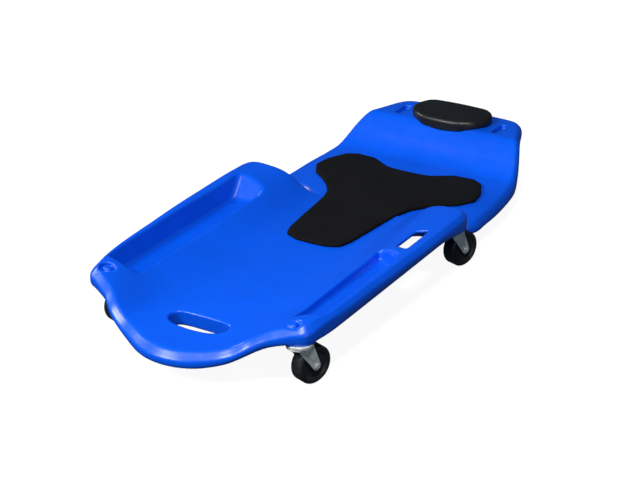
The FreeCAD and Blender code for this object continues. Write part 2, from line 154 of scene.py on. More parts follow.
TRAIL_YAW = math.radians(71.4)
TRAIL_WAY = (math.cos(TRAIL_YAW), math.sin(TRAIL_YAW))
TRAIL = 22.0
WHEEL_R = 31.75
CROWN_Z = 69.25              # middle of the fork's crown plate


# ------------------------------------------------------- solid field helpers
def round_and(a, b, r):
    """Intersection of two distance fields, its edge rounded to radius r."""
    u = np.maximum(a + r, 0)
    v = np.maximum(b + r, 0)
    return np.minimum(np.maximum(a, b), -r) + np.hypot(u, v)


def round_or(a, b, r):
    """Union of two distance fields with a fillet of radius r between them."""
    return -round_and(-a, -b, r)


def fade(value, zero_at, one_at):
    """0 at the first place and 1 at the second, in proportion between them."""
    return np.clip((value - zero_at) / (one_at - zero_at), 0, 1)


def mirrored(half):
    """Closed outline from its right half and that half's mirror image."""
    left = [(-x, y) for x, y in reversed(half) if x > 0.001]
    return list(half) + left


LOOP_STEPS = 14


def smooth_loop(points):
    """Closed smooth curve through the points, as a dense polygon."""
    p = np.array(points, float)
    n = len(p)
    h = np.hypot(*(np.roll(p, -1, 0) - p).T)
    hp = np.roll(h, 1)
    a = np.zeros((n, n))
    rhs = np.zeros((n, 2))
    for i in range(n):
        a[i, i - 1] = hp[i]
        a[i, i] = 2 * (hp[i] + h[i])
        a[i, (i + 1) % n] = h[i]
        rhs[i] = 6 * ((p[(i + 1) % n] - p[i]) / h[i] - (p[i] - p[i - 1]) / hp[i])
    m = np.linalg.solve(a, rhs)
    out = []
    for i in range(n):
        j = (i + 1) % n
        for k in range(LOOP_STEPS):
            t = k / LOOP_STEPS * h[i]
            s = h[i] - t
            out.append(m[i] * s ** 3 / (6 * h[i]) + m[j] * t ** 3 / (6 * h[i])
                       + (p[i] / h[i] - m[i] * h[i] / 6) * s
                       + (p[j] / h[i] - m[j] * h[i] / 6) * t)
    return np.array(out)


def loop_distance(loop, x, y):
    """Signed distance in the plan view to a closed polygon, negative inside."""
    best = np.full(x.shape, 1e18)
    inside = np.zeros(x.shape, bool)
    for (x0, y0), (x1, y1) in zip(loop, np.roll(loop, -1, 0)):
        dx, dy = x1 - x0, y1 - y0
        t = np.clip(((x - x0) * dx + (y - y0) * dy) / (dx * dx + dy * dy), 0, 1)
        best = np.minimum(best, (x - x0 - t * dx) ** 2 + (y - y0 - t * dy) ** 2)
        if y0 != y1:
            cross = (y0 > y) != (y1 > y)
            inside ^= cross & (x < x0 + (y - y0) / dy * dx)
    return np.sqrt(best) * np.where(inside, -1, 1)


class PlanField:
    """A quantity known on a fine plan grid, read anywhere by interpolation."""

    def __init__(self, function, box, step):
        x0, x1, y0, y1 = box
        self.x0, self.y0, self.step = x0, y0, step
        xs = np.arange(x0, x1 + step, step)
        ys = np.arange(y0, y1 + step, step)
        gx, gy = np.meshgrid(xs, ys, indexing="ij")
        self.grid = function(gx, gy)

    def __call__(self, x, y):
        u = np.clip((x - self.x0) / self.step, 0, self.grid.shape[0] - 1.001)
        v = np.clip((y - self.y0) / self.step, 0, self.grid.shape[1] - 1.001)
        i = u.astype(int)
        j = v.astype(int)
        fu = u - i
        fv = v - j
        g = self.grid
        return ((g[i, j] * (1 - fu) + g[i + 1, j] * fu) * (1 - fv)
                + (g[i, j + 1] * (1 - fu) + g[i + 1, j + 1] * fu) * fv)


TINY = 1e-6                  # stands in for 0, so that each grid value has a sign
POLISH_ROUNDS = 2
PROBE = 0.25                 # distance to each side at which the slope is measured
MIN_SLOPE_SQUARED = 0.25
MOVE_LIMIT = 2.0


def polished(field, points):
    """The points moved onto field = 0 by a few Newton steps."""
    for _ in range(POLISH_ROUNDS):
        value = field(*points.T)
        grad = np.empty_like(points)
        for k in range(3):
            step = np.zeros(3)
            step[k] = PROBE
            rise = field(*(points + step).T) - field(*(points - step).T)
            grad[:, k] = rise / (2 * PROBE)
        size = np.maximum((grad ** 2).sum(1), MIN_SLOPE_SQUARED)
        move = np.clip(value / size, -MOVE_LIMIT, MOVE_LIMIT)
        points = points - move[:, None] * grad
    return points


def surface_net(field, xs, ys, zs):
    """Closed quad mesh of field = 0 on a grid of uneven spacing.

    Every cell that the surface passes gets one point, at the mean of the
    crossings on the cell's edges. Every crossed edge gets one quad.
    """
    gx, gy, gz = np.meshgrid(xs, ys, zs, indexing="ij")
    f = field(gx, gy, gz)
    f = np.where(np.abs(f) < TINY, TINY, f)
    inside = f < 0
    shape = f.shape
    total = np.zeros(shape + (3,))
    count = np.zeros(shape, int)
    axes = (xs, ys, zs)
    crossings = []
    for axis in range(3):
        lo = [slice(None)] * 3
        hi = [slice(None)] * 3
        lo[axis] = slice(0, -1)
        hi[axis] = slice(1, None)
        change = inside[tuple(lo)] != inside[tuple(hi)]
        idx = np.argwhere(change)
        up = idx.copy()
        up[:, axis] += 1
        fa = f[tuple(idx.T)]
        fb = f[tuple(up.T)]
        t = fa / (fa - fb)
        pos = np.stack([axes[k][idx[:, k]] for k in range(3)], 1).astype(float)
        pos[:, axis] += t * (axes[axis][up[:, axis]] - axes[axis][idx[:, axis]])
        crossings.append((axis, idx, fa < 0))
        b, c = [k for k in range(3) if k != axis]
        for db in (0, 1):
            for dc in (0, 1):
                cell = idx.copy()
                cell[:, b] -= db
                cell[:, c] -= dc
                np.add.at(total, tuple(cell.T), pos)
                np.add.at(count, tuple(cell.T), 1)
    number = np.full(shape, -1)
    used = np.argwhere(count > 0)
    number[tuple(used.T)] = np.arange(len(used))
    points = total[tuple(used.T)] / count[tuple(used.T)][:, None]
    quads = []
    for axis, idx, out in crossings:
        b, c = (axis + 1) % 3, (axis + 2) % 3
        ring = []
        for db, dc in ((1, 1), (0, 1), (0, 0), (1, 0)):
            cell = idx.copy()
            cell[:, b] -= db
            cell[:, c] -= dc
            ring.append(number[tuple(cell.T)])
        quad = np.stack(ring, 1)
        quad[~out] = quad[~out][:, ::-1]
        quads.append(quad)
    return polished(field, points), np.concatenate(quads)


def new_mesh(name, points, faces):
    """Smooth-shaded mesh object; all faces have the same number of corners."""
    mesh = bpy.data.meshes.new(name)
    faces = np.asarray(faces, np.int32)
    starts = np.arange(0, faces.size, faces.shape[1], dtype=np.int32)
    mesh.vertices.add(len(points))
    mesh.vertices.foreach_set("co", np.asarray(points, np.float32).ravel())
    mesh.loops.add(faces.size)
    mesh.loops.foreach_set("vertex_index", faces.ravel())
    mesh.polygons.add(len(faces))
    mesh.polygons.foreach_set("loop_start", starts)
    mesh.update(calc_edges=True)
    mesh.validate()
    mesh.polygons.foreach_set("use_smooth", [True] * len(mesh.polygons))
    obj = bpy.data.objects.new(name, mesh)
    bpy.context.scene.collection.objects.link(obj)
    return obj


def lines(*stretches):
    """Grid lines: each stretch is (start, end, spacing)."""
    out = []
    for a, b, step in stretches:
        n = max(1, round((b - a) / step))
        out.extend(np.linspace(a, b, n, endpoint=False))
    out.append(stretches[-1][1])
    return np.array(out)


# ---------------------------------------------------------------- the deck
def table_poles(table):
    """Heights of the smoothing net's points, read from a height table."""
    nx, ny = NET_COUNT
    rows_y = [row[0] for row in table]
    heights = np.array([row[1] for row in table])
    poles = np.empty((nx, ny))
    for j in range(ny):
        y = NET_MIDDLE_Y + (j - (ny - 1) / 2) * NET_Y
        row = [np.interp(y, rows_y, heights[:, k]) for k in range(len(DISH_X))]
        for i in range(nx):
            poles[i, j] = np.interp(abs(i - (nx - 1) / 2) * NET_X, DISH_X, row)
    return poles


def cubic_weights(t):
    """The four weights of a uniform cubic B-spline."""
    return ((1 - t) ** 3 / 6, (3 * t ** 3 - 6 * t ** 2 + 4) / 6,
            (-3 * t ** 3 + 3 * t ** 2 + 3 * t + 1) / 6, t ** 3 / 6)


def net_height(poles):
    """Height function of the smooth surface that the net controls."""
    nx, ny = NET_COUNT

    def height(x, y):
        u = np.clip(x / NET_X + (nx - 1) / 2, 1, nx - 2.001)
        v = np.clip((y - NET_MIDDLE_Y) / NET_Y + (ny - 1) / 2, 1, ny - 2.001)
        i = u.astype(int)
        j = v.astype(int)
        wu = cubic_weights(u - i)
        wv = cubic_weights(v - j)
        total = 0
        for a in range(4):
            for b in range(4):
                total = total + wu[a] * wv[b] * poles[i + a - 1, j + b - 1]
        return total
    return height


PROFILE_START_Y = -200.0
PROFILE_END_Y = 700.0


def quadratic_profile(points):
    """Flat line, quadratic spline ramp, level line, as y, z samples."""
    p = np.array(points, float)
    n = len(p) - 2
    ys = [PROFILE_START_Y]
    zs = [p[0][1]]
    for s in range(n):
        a = p[s] if s == 0 else (p[s] + p[s + 1]) / 2
        b = p[s + 2] if s == n - 1 else (p[s + 1] + p[s + 2]) / 2
        for t in np.linspace(0, 1, 9):
            q = (1 - t) ** 2 * a + 2 * t * (1 - t) * p[s + 1] + t * t * b
            ys.append(q[0])
            zs.append(q[1])
    ys.append(PROFILE_END_Y)
    zs.append(p[-1][1])
    return np.array(ys), np.array(zs)


def steep_scale(height):
    """Plan field of the scale that turns a height difference into a distance."""
    def scale(x, y):
        gx = (height(x + 1, y) - height(x - 1, y)) / 2
        gy = (height(x, y + 1) - height(x, y - 1)) / 2
        return 1 / np.sqrt(1 + gx * gx + gy * gy)
    return PlanField(scale, PLAN_BOX, 3.0)


def loop_field(loop, box, step):
    """Plan field of the signed distance to a closed loop."""
    return PlanField(lambda x, y: loop_distance(loop, x, y), box, step)


PLAN_BOX = (-262, 262, -552, 552)          # min x, max x, min y, max y
FOOT_SLOT_BOX = (-90, 90, -470, -360)
main_plan = loop_field(smooth_loop(mirrored(MAIN_OUTLINE)), PLAN_BOX, 2.0)
head_plan = loop_field(smooth_loop(mirrored(HEAD_OUTLINE)), PLAN_BOX, 2.0)
foot_plan = loop_field(smooth_loop(mirrored(FOOT_SLOT)), FOOT_SLOT_BOX, 1.0)
dish_top = net_height(table_poles(DISH_TOP))
dish_low = net_height(table_poles(DISH_LOW))
top_scale = steep_scale(dish_top)
low_scale = steep_scale(dish_low)
head_top_curve = quadratic_profile(HEAD_TOP)
head_low_curve = quadratic_profile(HEAD_LOW)


def profile_gap(curve, y, z):
    """Signed distance above a side profile."""
    h = np.interp(y, *curve)
    slope = (np.interp(y + 1, *curve) - np.interp(y - 1, *curve)) / 2
    return (z - h) / np.sqrt(1 + slope * slope)


def polygon_gap(points, x, y, r):
    """Distance to a convex polygon with corners rounded to r, negative inside."""
    points = np.array(points, float)
    area = 0.0
    for (x0, y0), (x1, y1) in zip(points, np.roll(points, -1, 0)):
        area += x0 * y1 - x1 * y0
    sign = 1 if area > 0 else -1
    gap = None
    for (x0, y0), (x1, y1) in zip(points, np.roll(points, -1, 0)):
        length = math.hypot(x1 - x0, y1 - y0)
        d = sign * ((x - x0) * (y1 - y0) - (y - y0) * (x1 - x0)) / length
        gap = d if gap is None else round_and(gap, d, r)
    return gap


def tray_gap(side, x, y, z):
    """Distance to the room of one tray, negative inside it."""
    ax = side * x
    t = (z - TRAY_FLOOR_Z) / TRAY_RISE
    in_x, in_lean, in_cosine = TRAY_INNER
    out_x, out_lean, out_cosine = TRAY_OUTER
    foot_y, foot_lean = TRAY_FOOT
    head_y, head_lean, head_cosine, set_back = TRAY_HEADS[side]
    wall_in = (in_x - in_lean * t - ax) * in_cosine
    wall_out = (ax - out_x - out_lean * t) * out_cosine
    wall_foot = (foot_y - foot_lean * t) - y
    askew = (ax - in_x) * set_back / (out_x - in_x)
    wall_head = (y - (head_y - askew + head_lean * t)) * head_cosine
    across = np.maximum(wall_in, wall_out)
    plan = round_and(across, np.maximum(wall_foot, wall_head), TRAY_CORNER_R)
    return round_and(plan, TRAY_FLOOR_Z - z, TRAY_BASE_R)


COS_45 = 0.7071


def bevelled(side, top, width, r):
    """Body below top and inside side, its edge cut to a soft bevel."""
    body = round_and(side, top, r)
    return round_and(body, (side + top + width) * COS_45, r)


def main_body(plan, x, y, z):
    """Dished section with rails and foot pods."""
    bevel = BEVEL + FOOT_BEVEL * fade(y, -370, -410)
    body = bevelled(plan, (z - dish_top(x, y)) * top_scale(x, y), bevel, EDGE_R)
    return round_and(body, (dish_low(x, y) - z) * low_scale(x, y), BELLY_EDGE_R)


def head_body(x, y, z):
    """Flat floor and head ramp, with the scoop and the drooping shoulders."""
    scoop = RAMP_SCOOP * fade(y, *SCOOP_COMES_Y) * fade(y, *SCOOP_GOES_Y)
    lift = scoop * np.clip(1 - (x / SCOOP_HALF_W) ** 2, 0, 1)
    shoulder = np.clip((np.abs(x) - SHOULDER_X) / SHOULDER_W, 0, 1.1)
    droop = SIDE_DROOP * shoulder ** 2 * fade(y, *DROOP_GOES_Y)
    top = profile_gap(head_top_curve, y, z + lift + droop)
    body = bevelled(head_plan(x, y), top, BEVEL - 1.0, HEAD_EDGE_R)
    return round_and(body, -profile_gap(head_low_curve, y, z + lift), HEAD_BELLY_R)


def cut_recesses(body, x, y, z):
    """Both trays, both head recesses and the ring round each pod's core."""
    rx, ry, half_w, half_l, depth = HEAD_RECESS
    for side in (-1, 1):
        body = round_and(body, -tray_gap(side, x, y, z), TRAY_RIM_R)
        across = np.abs(x - side * rx) - half_w
        along = np.abs(y - ry) - half_l
        dent = round_and(across, along, half_w - 0.5)
        dent = round_and(dent, HEAD_END_Z - depth - z, CUT_R)
        body = round_and(body, -dent, CUT_R)
    for px, py in POD_RECESSES:
        r = np.hypot(x - px, y - py)
        ring = round_and(r - POD_RECESS_R, POD_RECESS_Z - z, POD_EDGE_R)
        core = round_and(r - POD_CORE_R, z - POD_CORE_Z, POD_EDGE_R)
        body = round_and(body, -np.maximum(ring, -core), POD_EDGE_R)
    return body


def cut_slots(body, x, y, z):
    """Side slot with the finger room under it, and the foot slot."""
    body = round_and(body, -polygon_gap(SIDE_SLOT, x, y, 6.0), CUT_R)
    ceiling = (z - dish_top(x, y) + SIDE_WEB) * top_scale(x, y)
    grip = round_and(polygon_gap(SIDE_GRIP, x, y, 8.0), ceiling, 3.0)
    body = round_and(body, -grip, CUT_R)
    rise = FOOT_SLOT_TOP_Z - FOOT_SLOT_LOW_Z
    foot = foot_plan(x, y) - FOOT_SLOT_FLARE * (FOOT_SLOT_TOP_Z - z) / rise
    near_foot = (np.abs(x) < 80) & (y < -370) & (y > -460)
    return np.where(near_foot, round_and(body, -foot, FOOT_SLOT_R), body)


def add_seats(body, plan, x, y, z):
    """Flat round seat for every caster, with free room below it."""
    for cx, cy in CASTERS.values():
        r = np.hypot(x - cx, y - cy) - SEAT_R
        seat = round_and(np.maximum(r, z - SEAT_TOP_Z), plan + SEAT_INSET, 1.0)
        body = np.minimum(body, round_and(seat, MOUNT_Z - z, 0.8))
        body = np.maximum(body, -np.maximum(r, z - MOUNT_Z))
    return body


def deck_field(x, y, z):
    """Signed distance to the deck as a solid; its inside hollow isn't modelled."""
    plan = main_plan(x, y)
    fillet = WING_FILLET_R * fade(np.abs(x), 84, 106) * fade(y, 56, 86) + SHARP
    body = round_or(main_body(plan, x, y, z), head_body(x, y, z), fillet)
    body = cut_recesses(body, x, y, z)
    body = cut_slots(body, x, y, z)
    return add_seats(body, plan, x, y, z)


def make_deck():
    """The deck's mesh, its grid finer where edges and slots are."""
    half = lines((0, 44, 4.4), (44, 60, 3.2), (60, 88, 4.4), (88, 120, 3.2),
                 (120, 142, 4.4), (142, 162, 2.6), (162, 206, 2.4), (206, 238, 2.7))
    xs = np.concatenate([-half[:0:-1], half])
    ys = lines((-530, -442, 2.8), (-442, -366, 2.3), (-366, -146, 6.4),
               (-146, 4, 3.2), (4, 130, 3.4), (130, 172, 3.2), (172, 330, 6.4),
               (330, 428, 4.2), (428, 484, 3.2), (484, 530, 3.6))
    zs = lines((21, 124, 2.75))
    points, quads = surface_net(deck_field, xs, ys, zs)
    return new_mesh("deck", points * MM, quads)


deck = make_deck()
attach(deck, "deck")
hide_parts("deck_shell")


# ------------------------------------------------------------------ cushions
# The mat's outline is the CAD model's. The headrest's front is 4 mm further
# back than there, and its sides are 1 mm wider.
BACK_MAT = [
    (0, -77), (28, -76), (53, -65), (61, -42), (67, 8), (72, 56), (77, 100),
    (86, 130), (104, 156), (126, 178), (150, 196), (167, 226), (163, 260),
    (145, 300), (123, 313), (84, 310), (62, 296), (44, 285), (20, 282),
    (0, 282),
]
REST = [
    (0, 408), (38, 411), (63, 425), (80, 450), (80, 472), (70, 494),
    (55, 505), (0, 508),
]

MAT_BOX = (-190, 190, -100, 340)
MAT_CORNER = 0.16
MAT_CROWN_Z = 66.4
MAT_EDGE_DROP = 2.2
MAT_EDGE_REACH = 7.0
MAT_UNDER_Z = 59.1
MAT_DISH_END_Y = 104.0       # as far as this, the mat lies in the dish
REST_BOX = (-110, 110, 370, 540)
REST_CORNER = 0.3
REST_CROWN_Z = 130.3
REST_EDGE_DROP = 3.0
REST_EDGE_REACH = 18.0
REST_GAP = 0.45              # between the cushion and the ramp
BOARD_ROOM_TOP_Z = 118.4
BOARD_ROOM_INSET = 8.0
MAT_GRID = (lines((-174, 174, 2.9)), lines((-82, 326, 2.9)), lines((56.6, 69, 1.24)))
REST_GRID = (lines((-86, 86, 2.2)), lines((398, 516, 2.2)), lines((96, 134, 1.9)))


def softened(points, share):
    """The outline with this share of every side curved into its corners."""
    p = np.array(points, float)
    out = []
    for i in range(len(p)):
        a, b, c = p[i - 1], p[i], p[(i + 1) % len(p)]
        for t in np.linspace(0, 1, 5):
            u = b + (a - b) * share
            w = b + (c - b) * share
            out.append((1 - t) ** 2 * u + 2 * t * (1 - t) * b + t * t * w)
    return np.array(out)


mat_plan = loop_field(softened(mirrored(BACK_MAT), MAT_CORNER), MAT_BOX, 1.5)
rest_plan = loop_field(softened(mirrored(REST), REST_CORNER), REST_BOX, 1.0)


def mat_field(x, y, z):
    """Foam mat, thinner towards its edge, following the dish underneath."""
    d = mat_plan(x, y)
    crown = MAT_CROWN_Z - MAT_EDGE_DROP * np.exp(np.minimum(d, 0) / MAT_EDGE_REACH)
    body = round_and(round_and(d + 0.4, z - crown, 1.8), MAT_UNDER_Z - z, 0.6)
    under = np.where(y < MAT_DISH_END_Y, dish_top(x, y) + 0.05 - z, -900.0)
    return np.maximum(body, under)


def rest_field(x, y, z):
    """Domed cushion, shaped underneath to the ramp and round its board."""
    d = rest_plan(x, y)
    crown = REST_CROWN_Z - REST_EDGE_DROP * np.exp(np.minimum(d, 0) / REST_EDGE_REACH)
    cushion = round_and(d - 0.8, z - crown, 8.0)
    seat = np.interp(y, *head_top_curve) + REST_GAP
    cushion = round_and(cushion, seat - z, 1.5)
    board = np.maximum(d + BOARD_ROOM_INSET, z - BOARD_ROOM_TOP_Z)
    return np.maximum(cushion, -board)


def cushion_mesh(name, field, grid):
    """Mesh object of a field's surface, brought from millimetres to metres."""
    points, quads = surface_net(field, *grid)
    return new_mesh(name, points * MM, quads)


mat = cushion_mesh("back_mat", mat_field, MAT_GRID)
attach(mat, "deck")
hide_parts("back_pad")

rest = cushion_mesh("head_cushion", rest_field, REST_GRID)
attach(rest, "deck")
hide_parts("headrest_pad")


# ------------------------------------------------------------------- casters
def to_corner(points, corner):
    """Caster coordinates (trail along +Y) to the place of one corner."""
    cx, cy = CASTERS[corner]
    tx, ty = TRAIL_WAY
    p = np.array(points, float)
    return np.stack([cx + p[:, 0] * ty + p[:, 1] * tx,
                     cy - p[:, 0] * tx + p[:, 1] * ty, p[:, 2]], 1)


def spin(profile, segments):
    """Ring of quads from a closed profile of (along, out) points."""
    n = len(profile)
    pts = []
    for k in range(segments):
        a = 2 * math.pi * k / segments
        pts.extend((u, r * math.cos(a), r * math.sin(a)) for u, r in profile)
    faces = []
    for k in range(segments):
        m = (k + 1) % segments
        for i in range(n):
            j = (i + 1) % n
            faces.append((k * n + i, m * n + i, m * n + j, k * n + j))
    return np.array(pts), faces


def rounded_profile(points):
    """Each point is (along, out, corner radius)."""
    out = []
    n = len(points)
    for i in range(n):
        a = Vector(points[i - 1][:2])
        b = Vector(points[i][:2])
        c = Vector(points[(i + 1) % n][:2])
        r = points[i][2]
        if r == 0:
            out.append(tuple(b))
            continue
        u = (a - b).normalized()
        w = (c - b).normalized()
        half = u.angle(w) / 2
        cut = min(r / math.tan(half), (a - b).length * 0.49, (c - b).length * 0.49)
        p0, p1 = b + u * cut, b + w * cut
        for t in np.linspace(0, 1, 5):
            out.append(tuple((1 - t) ** 2 * p0 + 2 * t * (1 - t) * b + t * t * p1))
    return out


# One half of the wheel's section, as (along, out, corner radius).
WHEEL_HALF = [
    (13.0, 5.05, 0.3), (13.0, 9.2, 0.8), (9.4, 10.6, 1.2), (8.9, 21.0, 1.2),
    (11.4, 24.2, 0.8), (12.0, 29.0, 2.2), (9.2, WHEEL_R, 1.6),
]


def wheel_profile():
    left = [(-u, r, c) for u, r, c in reversed(WHEEL_HALF)]
    return rounded_profile(WHEEL_HALF + left)


def uneven_capsule(px, pz, x0, z0, r0, x1, z1, r1):
    """Plane distance to two discs joined by their tangents."""
    h = math.hypot(x1 - x0, z1 - z0)
    ux, uz = (x1 - x0) / h, (z1 - z0) / h
    along = (px - x0) * ux + (pz - z0) * uz
    across = np.abs(-(px - x0) * uz + (pz - z0) * ux)
    b = (r0 - r1) / h
    a = math.sqrt(1 - b * b)
    k = -b * across + a * along
    side = a * across + b * along - r0
    near = np.hypot(across, along) - r0
    far = np.hypot(across, along - h) - r1
    return np.where(k < 0, near, np.where(k > a * h, far, side))


LEG_X = 14.3                 # middle of each leg plate
LEG_HALF_T = 1.0
LEG_TIP_R = 7.5
LEG_TOP_R = 13.5
RIB_X = 15.2
RIB_HALF_T = 0.9
CROWN_R = 21.5
CROWN_HALF_T = 1.25
PIN_HOLE_R = 6.05
AXLE_HOLE_R = 3.0
GROOVE_R = 2.5
BALL_PITCH_R = 13.5
BALL_LIFT = 2.75             # ball centres above the middle of the crown


def fork_field(x, y, z):
    """Pressed yoke: round crown, two teardrop legs and their raised ribs."""
    ax = np.abs(x)
    leg = uneven_capsule(y, z, TRAIL, WHEEL_R, LEG_TIP_R, 2.0, CROWN_Z - 0.5, LEG_TOP_R)
    leg = round_and(leg, np.abs(ax - LEG_X) - LEG_HALF_T, 0.7)
    rib = uneven_capsule(y, z, TRAIL - 7.0, WHEEL_R + 13.5, 2.4, 6.0, CROWN_Z - 7.5, 5.6)
    rib = round_and(rib, np.abs(ax - RIB_X) - RIB_HALF_T, 0.8)
    leg = round_or(leg, rib, 0.8)
    from_stem = np.hypot(x, y)
    crown = round_and(from_stem - CROWN_R, np.abs(z - CROWN_Z) - CROWN_HALF_T, 0.7)
    body = round_or(crown, leg, 2.2)
    body = np.maximum(body, z - CROWN_Z - CROWN_HALF_T)
    body = np.maximum(body, PIN_HOLE_R - from_stem)
    groove = np.hypot(from_stem - BALL_PITCH_R, z - CROWN_Z - BALL_LIFT) - GROOVE_R
    body = np.maximum(body, -groove)
    return np.maximum(body, AXLE_HOLE_R - np.hypot(y - TRAIL, z - WHEEL_R))


# Section of the upper raceway with its ball groove, as (z, out, corner radius).
RACEWAY = [
    (MOUNT_Z, PIN_HOLE_R, 0.2), (MOUNT_Z, 22.0, 1.4), (71.0, 22.0, 0.4),
    (71.0, 20.4, 0.4), (73.5, 20.4, 0.2), (73.5, 15.5, 0), (74.2, 14.7, 0),
    (74.5, BALL_PITCH_R, 0), (74.2, 12.3, 0), (73.5, 11.5, 0),
    (73.5, PIN_HOLE_R, 0.2),
]
FORK_GRID = (lines((-17.8, -11.8, 0.75), (-11.8, 11.8, 1.4), (11.8, 17.8, 0.75)),
             lines((-23, 31, 1.0)), lines((23, 72, 1.0)))


def caster_shapes():
    """Points and faces of each visible caster piece, before it is placed."""
    ring, ring_faces = spin(wheel_profile(), 72)
    race, race_faces = spin(rounded_profile(RACEWAY), 64)
    return {
        "fork": surface_net(fork_field, *FORK_GRID),
        "wheel": (ring + np.array((0.0, TRAIL, WHEEL_R)), ring_faces),
        "raceway": (race[:, [1, 2, 0]], race_faces),     # its axis stands upright
    }


def make_casters():
    """The same three pieces at every corner; raceways stay with the deck."""
    shapes = caster_shapes()
    made = {part: [] for part in shapes}
    for corner in CASTERS:
        for part, (points, faces) in shapes.items():
            node = corner + "_" + part
            obj = new_mesh(part + "_" + corner, to_corner(points, corner) * MM, faces)
            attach(obj, "deck" if part == "raceway" else node)
            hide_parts(node)
            made[part].append(obj)
    return made


casters = make_casters()


# ----------------------------------------------------------------- materials
NOISE_LOW = 0.3              # the range that most of a noise's values fall in
NOISE_HIGH = 0.7


class Shader:
    """One node material, built up step by step."""

    def __init__(self, name, color, metallic=0.0):
        self.mat = bpy.data.materials.new(name)
        self.mat.use_nodes = True
        self.nodes = self.mat.node_tree.nodes
        self.links = self.mat.node_tree.links
        self.bsdf = self.nodes["Principled BSDF"]
        self.set("Base Color", (*color, 1))
        self.set("Metallic", metallic)
        self.place = self.nodes.new("ShaderNodeTexCoord").outputs["Object"]
        self.normal = None

    def set(self, socket, value):
        self.bsdf.inputs[socket].default_value = value

    def scaled(self, scale):
        node = self.nodes.new("ShaderNodeMapping")
        node.inputs["Scale"].default_value = scale
        self.links.new(self.place, node.inputs["Vector"])
        return node.outputs["Vector"]

    def noise(self, scale, detail, rough=0.5, stretch=(1, 1, 1), warp=0.0):
        node = self.nodes.new("ShaderNodeTexNoise")
        node.inputs["Scale"].default_value = scale
        node.inputs["Detail"].default_value = detail
        node.inputs["Roughness"].default_value = rough
        node.inputs["Distortion"].default_value = warp
        self.links.new(self.scaled(stretch), node.inputs["Vector"])
        return node.outputs["Fac"]

    def cells(self, scale, feature="F1"):
        node = self.nodes.new("ShaderNodeTexVoronoi")
        node.feature = feature
        node.inputs["Scale"].default_value = scale
        self.links.new(self.scaled((1, 1, 1)), node.inputs["Vector"])
        return node.outputs["Distance"]

    def remap(self, value, low, high):
        """Stretches a noise's usual range to low and high."""
        node = self.nodes.new("ShaderNodeMapRange")
        node.inputs["From Min"].default_value = NOISE_LOW
        node.inputs["From Max"].default_value = NOISE_HIGH
        node.inputs["To Min"].default_value = low
        node.inputs["To Max"].default_value = high
        self.links.new(value, node.inputs["Value"])
        return node.outputs["Result"]

    def rough(self, value, low, high):
        self.links.new(self.remap(value, low, high), self.bsdf.inputs["Roughness"])

    def tint(self, value, color_a, color_b):
        """Base colour that wanders between two colours."""
        node = self.nodes.new("ShaderNodeMix")
        node.data_type = "RGBA"
        node.inputs["A"].default_value = (*color_a, 1)
        node.inputs["B"].default_value = (*color_b, 1)
        self.links.new(self.remap(value, 0, 1), node.inputs["Factor"])
        self.links.new(node.outputs["Result"], self.bsdf.inputs["Base Color"])

    def bump(self, height, distance, strength):
        """Adds to the bumps made so far; distance is in metres."""
        node = self.nodes.new("ShaderNodeBump")
        node.inputs["Strength"].default_value = strength
        node.inputs["Distance"].default_value = distance
        self.links.new(height, node.inputs["Height"])
        if self.normal:
            self.links.new(self.normal, node.inputs["Normal"])
        self.normal = node.outputs["Normal"]
        self.links.new(self.normal, self.bsdf.inputs["Normal"])


def deck_material():
    """Slightly uneven glossy blue plastic with a very fine grain."""
    m = Shader("deck_blue", (0.0, 0.1, 0.8))
    m.tint(m.noise(9.0, 4.0), (0.0002, 0.074, 0.62), (0.0004, 0.084, 0.70))
    m.rough(m.noise(46.0, 5.0, 0.6), 0.27, 0.35)
    m.set("Specular IOR Level", 0.45)
    m.bump(m.noise(900.0, 2.0), 0.00010, 0.5)
    m.bump(m.noise(30.0, 2.0), 0.0006, 0.25)
    return m.mat


def foam_material():
    """Dull black foam with small cells."""
    m = Shader("mat_foam", (0.008, 0.008, 0.008))
    m.tint(m.noise(14.0, 3.0), (0.0030, 0.0030, 0.0033), (0.0050, 0.0050, 0.0054))
    m.rough(m.noise(300.0, 3.0), 0.82, 0.95)
    m.set("Specular IOR Level", 0.10)
    m.bump(m.cells(1100.0), 0.00030, 0.6)
    m.bump(m.noise(60.0, 3.0), 0.0005, 0.3)
    return m.mat


def vinyl_material():
    """Grained black vinyl over soft filling."""
    m = Shader("head_vinyl", (0.015, 0.015, 0.016))
    m.tint(m.noise(20.0, 3.0), (0.006, 0.006, 0.0065), (0.010, 0.010, 0.0105))
    m.rough(m.noise(120.0, 4.0), 0.30, 0.46)
    m.set("Specular IOR Level", 0.32)
    m.bump(m.cells(520.0, "SMOOTH_F1"), 0.00025, 0.5)
    m.bump(m.noise(26.0, 3.0, warp=0.4), 0.0012, 0.35)
    return m.mat


def zinc_material():
    """Pale zinc plating, mottled."""
    m = Shader("zinc_plate", (0.6, 0.62, 0.62), 0.35)
    m.tint(m.noise(120.0, 4.0), (0.50, 0.53, 0.52), (0.70, 0.72, 0.71))
    m.rough(m.noise(260.0, 4.0, 0.6), 0.26, 0.48)
    m.bump(m.noise(700.0, 2.0), 0.00008, 0.4)
    return m.mat


def bright_steel_material():
    m = Shader("bright_steel", (0.6, 0.6, 0.62), 1.0)
    m.tint(m.noise(200.0, 3.0), (0.52, 0.52, 0.54), (0.66, 0.66, 0.68))
    m.rough(m.noise(400.0, 3.0), 0.14, 0.26)
    return m.mat


def wheel_material():
    """Hard black moulded plastic."""
    m = Shader("wheel_black", (0.012, 0.012, 0.013))
    m.tint(m.noise(90.0, 4.0), (0.009, 0.0095, 0.010), (0.018, 0.0185, 0.019))
    m.rough(m.noise(180.0, 4.0, 0.6), 0.30, 0.52)
    m.set("Specular IOR Level", 0.35)
    m.bump(m.noise(900.0, 2.0), 0.00012, 0.5)
    return m.mat


